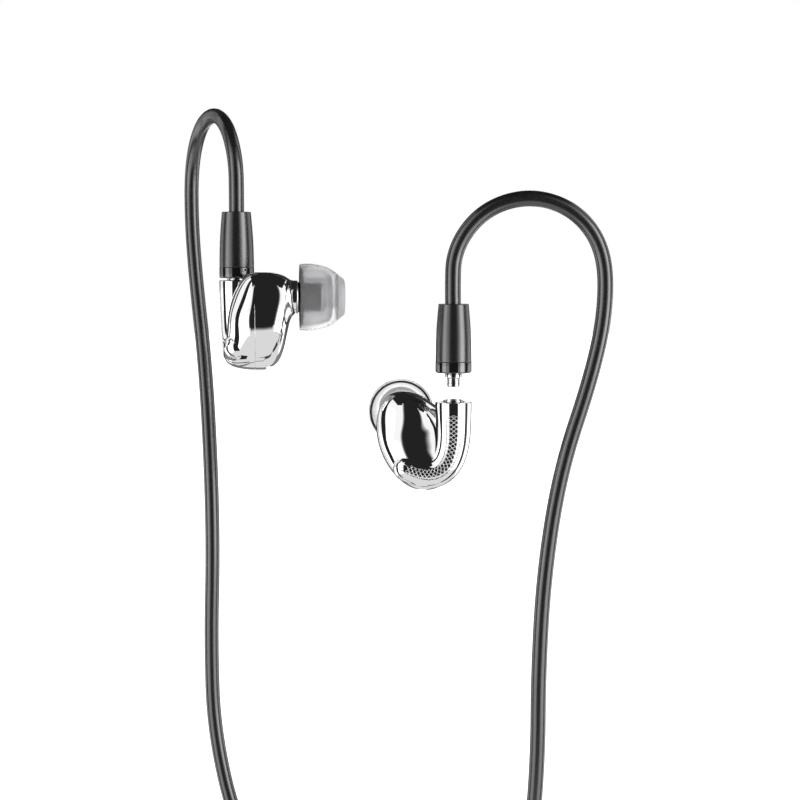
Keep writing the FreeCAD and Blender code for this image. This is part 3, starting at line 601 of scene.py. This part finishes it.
# ================================================================================================
# earpieces: the ear tip and the turned pieces
# ================================================================================================
NOSE_Y, NOSE_R = 18.2, 2.2    # the tip's nose lies beyond both, and is painted darker there as painted shade
BEVEL_Y, BEVEL_R = 12.1, 5.75 # its rear edge widens within both, and that bevel carries a painted dark reflection
EDGE_ROUND = 0.05
NOZZLE_PROFILE = [(2.0, 9.0), (2.3, 9.0), (2.3, 11.0), (2.72, 11.0), (2.72, 11.5), (2.6, 11.5),
                  (2.6, 14.5), (2.70, 14.6), (2.70, 15.1), (2.6, 15.3), (2.3, 15.3), (2.3, 15.0),
                  (2.0, 15.0), (2.0, 9.0)]
SOCKET_PROFILE = [(0.9, -3.6), (2.05, -3.6), (2.05, 0), (1.80, 0.04), (1.80, 0.34), (1.62, 0.34),
                  (1.6, -0.45), (1.30, -0.45), (1.30, -0.95), (1.42, -0.95), (1.42, -1.4), (1.30, -1.4),
                  (1.30, -3.0), (0.9, -3.0)]


def tip_profile():
    """The tip's closed section (r, y): dome, sound hole, core and the underside of the skirt."""
    outer = spline([(5.95, 11.4), (6.05, 12.9), (5.85, 14.6), (5.25, 16.6), (4.2, 18.2), (3.45, 19.1),
                    (3.2, 19.38), (2.9, 19.5)], 40)
    inner = rounded([(2.9, 19.5), (2.05, 19.5), (2.0, 15.9), (2.78, 15.9), (2.78, 11.9), (3.4, 11.9),
                     (3.5, 17.3)], 0.15)
    under = spline([(3.5, 17.3), (4.3, 16.9), (5.0, 15.6), (5.32, 13.6), (5.38, 11.85)], 20)
    lip = [(5.66, 11.42), (5.8, 11.38), (5.9, 11.38), (5.95, 11.4)]
    return np.vstack([outer, inner[1:], under[1:], lip])


def shell_piece(name, side, to_row, meshes, materials, **build):
    """Piece of the earpiece's own frame, made of one or more meshes."""
    pile = Pile()
    for mesh in meshes:
        mesh(pile)
    pile.verts = [to_row(v) for v in pile.verts]
    return pile.build(f"{side}_{name}", materials, flip=side == "right", **build)


def ear_tip(side, to_row):
    """The tip, with its nose in a darker copy of the silicone as painted shade and its bevelled rear edge in black
    as a painted dark reflection.
    """
    profile = tip_profile()
    pile = Pile()
    revolve(pile, profile, nozzle_axis(to_row), TIP_SEGMENTS)
    pile.mats = []
    for (r0, y0), (r1, y1) in zip(profile, profile[1:]):
        # the nose wears the painted shade
        painted_shade_nose = min(y0, y1) > NOSE_Y and min(r0, r1) > NOSE_R
        # the bevelled rear edge wears the painted dark reflection
        painted_reflection_bevel = max(y0, y1) < BEVEL_Y and r0 < min(r1, BEVEL_R)
        pile.mats += [1 if painted_shade_nose else 2 if painted_reflection_bevel else 0] * TIP_SEGMENTS
    return pile.build(f"{side}_tip_skin", [SILICONE, SILICONE_NOSE_PAINTED_SHADE, SILICONE_PAINTED_DARK_REFLECTION], TURNED_SHARP)


for side in SIDES:
    to_row = unit_frame(side)
    body = f"{side}_earpiece"
    front = shell_piece("front_shell_skin", side, to_row, (tube_mesh, bowl_mesh), [CHROME])
    rear = shell_piece("rear_shell_skin", side, to_row, (rear_mesh,), [CHROME])
    weave = shell_piece("grille_weave", side, to_row, (grille_mesh,), [GRILLE, PLATE], sharp=WIRE_SHARP)
    nozzle = turned(f"{side}_nozzle_tube", NOZZLE_PROFILE, nozzle_axis(to_row), NOZZLE_METAL, EDGE_ROUND)
    ring = turned(f"{side}_socket_ring", SOCKET_PROFILE, to_row, CONTACT, EDGE_ROUND)
    settle(front, body, f"{side}_front_shell")
    settle(rear, body, f"{side}_rear_shell")
    settle(weave, body, f"{side}_acoustic_grille")
    settle(nozzle, body, f"{side}_nozzle")
    settle(ring, body, f"{side}_socket_body")
    settle(ear_tip(side, to_row), f"{side}_tip", f"{side}_ear_tip")


# ================================================================================================
# connectors at the ends of the ear cords
# ================================================================================================
COLLAR_PROFILE = [(1.55, 0.0), (3.02, 0.0), (3.22, 0.2), (3.22, 1.92), (3.14, 2.0), (2.2, 2.0)]
BARREL_SIDE = spline([(3.20, 2.06), (3.07, 7.1), (2.68, 12.1)], 30)
BARREL_PROFILE = [(2.2, 2.0), (3.14, 2.0), *BARREL_SIDE, (2.60, BARREL_TOP), (1.38, BARREL_TOP),
                  (1.38, 8.0)]
PLUG_PROFILE = [(0.85, -0.6), (0.85, -2.5), (1.08, -2.5), (1.18, -2.4), (1.18, -1.8), (1.0, -1.8),
                (1.0, -1.4), (1.18, -1.4), (1.18, -1.0), (1.08, -0.96), (1.08, -0.85), (1.5, -0.82),
                (1.5, -0.3), (1.4, -0.25), (1.4, 0.6), (2.2, 0.6)]
for side in SIDES:
    for name, profile, radius, look, node, slot in (
            ("collar_skin", COLLAR_PROFILE, 0.06, COLLAR, "plug_collar", "gloss_collar"),
            ("barrel_skin", BARREL_PROFILE, 0.06, BARREL, "plug_barrel", "satin_barrel"),
            ("plug_skin", PLUG_PROFILE, 0.04, CONTACT, "plug_shell", "contact_metal")):
        made = turned(f"{side}_{name}", profile, plug_frame(side), look, radius)
        settle(made, "cable", f"{side}_{node}")


# ================================================================================================
# cords: each one is a single open spline through the route's corner points
# ================================================================================================
TURN_POINTS = 16
PAIR_Y, OUTER_Y = 1.55, 4.45  # the ear cords' distance from the coil's middle plane
OUTER_FROM, OUTER_TO = 180, 630                       # angles of the coil's layers, in degrees
MIDDLE_FROM, MIDDLE_TO = 135, 135 + 4.2 * 360
INNER_FROM, INNER_TO = 1665, 1665 + 4.125 * 360
CORD_ROUND, CORD_STEPS = 8, 12                        # steps round a cord and along its spans


def cord_curve(name, points, diameter):
    data = bpy.data.curves.new(name, "CURVE")
    data.dimensions = "3D"
    data.bevel_depth = diameter / 2 * MM
    data.bevel_resolution = CORD_ROUND
    data.resolution_u = CORD_STEPS
    data.use_fill_caps = True
    line = data.splines.new("NURBS")
    line.points.add(len(points) - 1)
    for point, at in zip(line.points, points):
        point.co = (*(float(c) * MM for c in at), 1.0)
    line.order_u = 3
    line.use_endpoint_u = True
    data.materials.append(JACKET)
    obj = bpy.data.objects.new(name, data)
    bpy.context.scene.collection.objects.link(obj)
    return obj


def about_coil(points):
    return [tuple(COIL_CENTRE + q) for q in points]


def winding(radius, start, stop, y_at):
    """Control points of turns from one angle to another, in degrees; y_at gives the column."""
    held = radius / cos(pi / TURN_POINTS)
    angles = np.arange(start, stop + 0.1, 360 / TURN_POINTS)
    return [(held * cos(radians(a)), y_at(a), held * sin(radians(a))) for a in angles]


def barrel_mouth(side):
    return SOCKET[side] + (0, 0, PLUG_GAP[side] + BARREL_TOP)


def branch_route(side):
    """Over the ear, down to the chin slider, round the coil and up into the splitter."""
    x, y, top = barrel_mouth(side)
    turn = HOOK_TURN[side]
    hook = [(x + s * cos(turn), y + s * sin(turn), top + h) for s, h in EAR_HOOK]
    way = -1 if side == "left" else 1
    turns = winding(OUTER_R, OUTER_FROM, OUTER_TO,
                    lambda a: way * np.interp(a, (330, 410), (PAIR_Y, OUTER_Y)))
    loop = [(9.0, way * 4.3, -20.4), (16.5, way * 3.8, -18.2), (22.0, way * 2.8, -13.4),
            (25.0, way * 1.7, -7.4), (25.2, way * PAIR_Y, -1.0)]
    return hook + DROP[side] + about_coil(turns + loop)


def main_route():
    """Out of the splitter, over the coil, into its middle and inner turns and on to the jack."""
    middle = winding(MIDDLE_R, MIDDLE_FROM, MIDDLE_TO,
                     lambda a: np.interp(a, (135, 180, 540, 900, 1260, 1500),
                                         (-2.6, -4.5, -4.5, -1.5, 1.5, 4.5)))
    inner = winding(INNER_R, INNER_FROM, INNER_TO,
                    lambda a: np.interp(a, (1665, 2745, 3000, 3105, 3150), (4.5, -4.5, -4.6, -7.3, -7.6)))
    return about_coil(MAIN_RISE + middle + inner + LEAD_ROUTE)


for side in SIDES:
    route = branch_route(side)
    cord = cord_curve(f"{side}_branch_cord", route, CORD_D)
    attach(cord, "cable")
    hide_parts(f"{side}_ear_cord", "coiled_cable")

route = main_route()
cord = cord_curve("main_cord", route, MAIN_D)
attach(cord, "cable")
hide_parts("main_lead", "coiled_cable")

# ================================================================================================
# studio: a white room with cards that only reflections see. Azimuth 0 is towards the camera.
# ================================================================================================
STUDIO_X, STUDIO_Y = 7.0, -13.0
FLOOR_GAP, FLOOR_SIZE = 0.004, 8    # in metres; the gap is below the lowest point
TOP, FAR = 1250.0, 900.0
CARD_SPAN = 6                 # degrees between a card's columns
BLACK_LIFT, GREY_LIFT = 2.0, 1.0    # of the cards that lie on the floor
FRONT_HALF, FRONT_SOFT = 24.0, 7.0
FRONT_NEAR, FRONT_FADE = 312.0, 70.0
FADE_STEPS = 8
GREY_NEAR, GREY_FAR = 1.0, 215.0
GAP_FROM, GAP_TO, GAP_NEAR = 79.0, 101.0, 70.0
EDGE_FROM, EDGE_TO = -126.5, -133.5
OUTLINE_FROM, OUTLINE_TO, OUTLINE_NEAR = 140.0, 176.0, 190.0
BACK_FROM, BACK_TO, BACK_LOW = 150.0, 210.0, 330.0
CEILING_HALF = 950.0
MIRRORED = ((1, "right"), (-1, "left"))

scene = bpy.context.scene
scene.view_settings.view_transform = "Standard"
world = bpy.data.worlds.new("studio")
world.use_nodes = True
world.node_tree.nodes["Background"].inputs["Color"].default_value = WHITE
world.node_tree.nodes["Background"].inputs["Strength"].default_value = 1.0
scene.world = world

FLOOR_Z = float(CAD_BOX[0][2]) - FLOOR_GAP
FLOOR_MM = FLOOR_Z / MM
bpy.ops.mesh.primitive_plane_add(size=FLOOR_SIZE, location=(0, 0, FLOOR_Z))
floor = bpy.context.object
floor.name = "studio_floor"
floor.data.materials.append(FLOOR)


def card(name, rows, look):
    """Sheet outside the picture that only reflections see; rows are points in mm."""
    pile = Pile()
    pile.grid(rows, around=False)
    made = pile.build(name, [look])
    made.visible_camera = False
    made.visible_shadow = False
    made.visible_diffuse = False


def bent_card(name, from_az, to_az, edges, look):
    """Card between two azimuths; edges are its two (radius, z)."""
    columns = max(2, int(abs(to_az - from_az) / CARD_SPAN) + 2)
    angles = np.radians(np.linspace(from_az, to_az, columns))
    card(name, [[(radius * sin(a) + STUDIO_X, -radius * cos(a) + STUDIO_Y, z) for a in angles]
                for radius, z in edges], look)


def wall(name, from_az, to_az, low, look):
    """Upright card on a cylinder round the object."""
    bent_card(name, from_az, to_az, ((FAR, low), (FAR, TOP)), look)


def sector(name, from_az, to_az, near, far, lift, look):
    """Card on the floor between two distances."""
    bent_card(name, from_az, to_az, ((far, FLOOR_MM + lift), (near, FLOOR_MM + lift)), look)


def screen(name, from_az, to_az, near, look):
    """Upright card that goes on as a strip of floor towards the object."""
    wall(f"{name}_card", from_az, to_az, FLOOR_MM, look)
    sector(f"{name}_floor_card", from_az, to_az, near, FAR, BLACK_LIFT, look)


def fade(name, level, share):
    """Look between the black card and a level, darker near the card."""
    return glowing(name, BLACK_LEVEL + (level - BLACK_LEVEL) * share ** 2)


screen("front", -FRONT_HALF, FRONT_HALF, FRONT_NEAR, BLACK_CARD)
for i in range(FADE_STEPS):
    share = (i + 0.5) / FADE_STEPS
    look = fade(f"fade_{share:.2f}", 1.0, share)
    inner = FRONT_HALF + FRONT_SOFT * i / FADE_STEPS
    outer = inner + FRONT_SOFT / FADE_STEPS
    for way, word in MIRRORED:
        screen(f"{word}_soft_{i}", way * inner, way * outer, FRONT_NEAR, look)
    near = FRONT_NEAR - FRONT_FADE * (i + 1) / FADE_STEPS
    sector(f"front_fade_{i}", -FRONT_HALF, FRONT_HALF, near, near + FRONT_FADE / FADE_STEPS, BLACK_LIFT,
           fade(f"floor_fade_{i}", GREY_LEVEL, share))
for way, word in MIRRORED:
    screen(f"{word}_gap", way * GAP_FROM, way * GAP_TO, GAP_NEAR, BLACK_CARD)
    wall(f"{word}_outline_card", way * OUTLINE_FROM, way * OUTLINE_TO, FLOOR_MM, OUTLINE_CARD)
    sector(f"{word}_outline_floor_card", way * OUTLINE_FROM, way * OUTLINE_TO, OUTLINE_NEAR, FAR,
           BLACK_LIFT, OUTLINE_FLOOR)
screen("left_edge", EDGE_FROM, EDGE_TO, GAP_NEAR, BLACK_CARD)
wall("back_card", BACK_FROM, BACK_TO, BACK_LOW, BLACK_CARD)
card("ceiling_card", [[(x, y, TOP) for x in (-CEILING_HALF, CEILING_HALF)]
                      for y in (-CEILING_HALF, CEILING_HALF)], BLACK_CARD)
sector("grey_floor_card", -180, 180, GREY_NEAR, GREY_FAR, GREY_LIFT, GREY_CARD)
sector("grey_front_card", -FRONT_HALF - FRONT_SOFT, FRONT_HALF + FRONT_SOFT, GREY_FAR, FRONT_NEAR,
       GREY_LIFT, GREY_CARD)

SOFTBOX_AWAY, SOFTBOX_Z, SOFTBOX_TALL = 0.8, -0.02, 1.0    # in metres
CAMERA_PLACE, CAMERA_TILT, CAMERA_LENS = (0.007, -0.31186, -0.01785), 85.0, 75.84


def softbox(name, azimuth, power, width):
    """Upright softbox at an azimuth round the object."""
    data = bpy.data.lights.new(name, "AREA")
    data.shape = "RECTANGLE"
    data.size, data.size_y = width, SOFTBOX_TALL
    data.energy = power
    obj = bpy.data.objects.new(name, data)
    a = radians(azimuth)
    obj.location = (SOFTBOX_AWAY * sin(a) + STUDIO_X * MM, -SOFTBOX_AWAY * cos(a) + STUDIO_Y * MM, SOFTBOX_Z)
    obj.rotation_euler = (pi / 2, 0, a)
    obj.visible_camera = False
    scene.collection.objects.link(obj)


softbox("key_left", -62, 1.6, 0.34)
softbox("key_right", 58, 4.0, 0.40)

camera = bpy.data.cameras.new("camera")
camera.sensor_width = 36.0
camera.lens = CAMERA_LENS
camera.clip_start, camera.clip_end = 0.01, 20.0
view = bpy.data.objects.new("camera", camera)
view.location = CAMERA_PLACE
view.rotation_euler = (radians(CAMERA_TILT), 0, 0)
scene.collection.objects.link(view)
scene.camera = view
